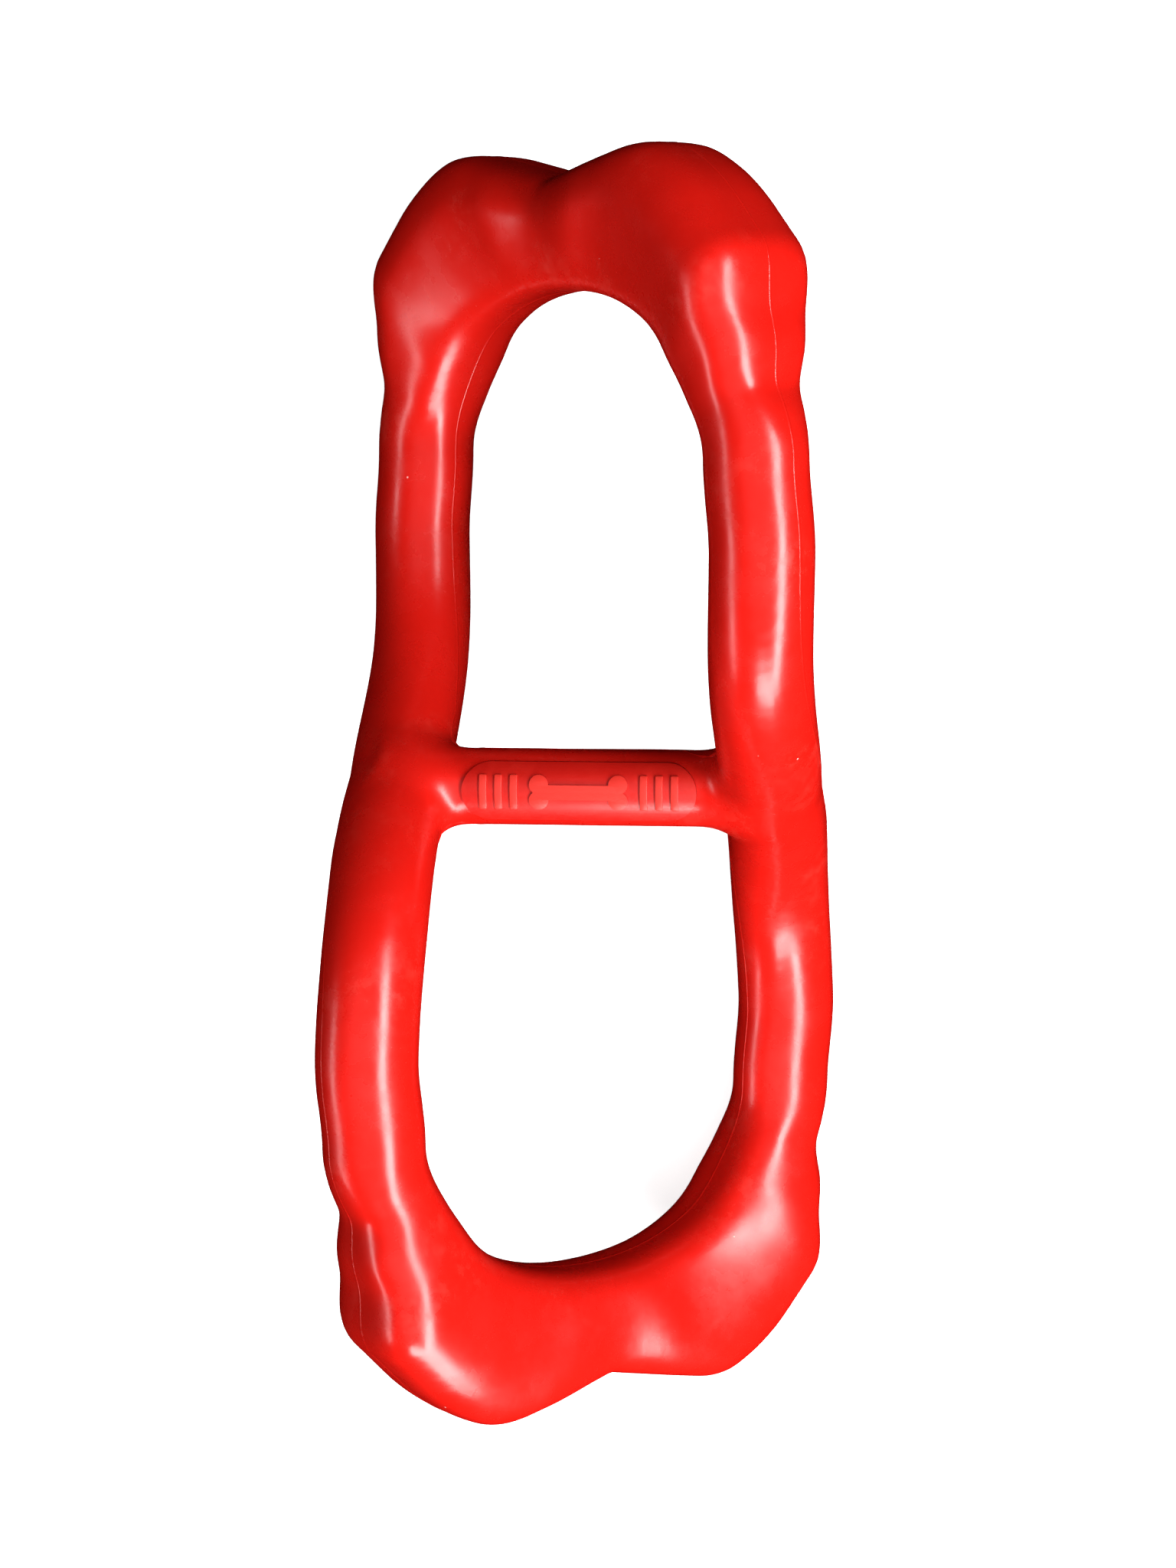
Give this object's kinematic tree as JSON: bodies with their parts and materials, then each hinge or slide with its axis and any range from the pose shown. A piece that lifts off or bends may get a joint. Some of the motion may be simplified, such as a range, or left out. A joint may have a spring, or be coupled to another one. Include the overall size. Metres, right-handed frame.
{
  "type": "rubber tug toy",
  "caption": "Figure-eight rubber pull toy: two D-shaped hand loops with bone-like ends, set across each other on a round crossbar with a raised badge.",
  "frame": {"origin": "middle of the crossbar, which is also the centre of the whole toy", "axes": "+X along the crossbar, +Y along the toy towards the upper loop, +Z out of the badge on the crossbar"},
  "size_m": [0.1168, 0.3034, 0.106],
  "materials": {
    "red_rubber": "glossy moulded",
    "matte_red_rubber": "matte moulded"
  },
  "bodies": {
    "root": {"upper_loop": "red_rubber", "lower_loop": "red_rubber", "grip_bar": "red_rubber", "badge_pad": "matte_red_rubber", "badge_relief": "matte_red_rubber"}
  },
  "joints": []
}
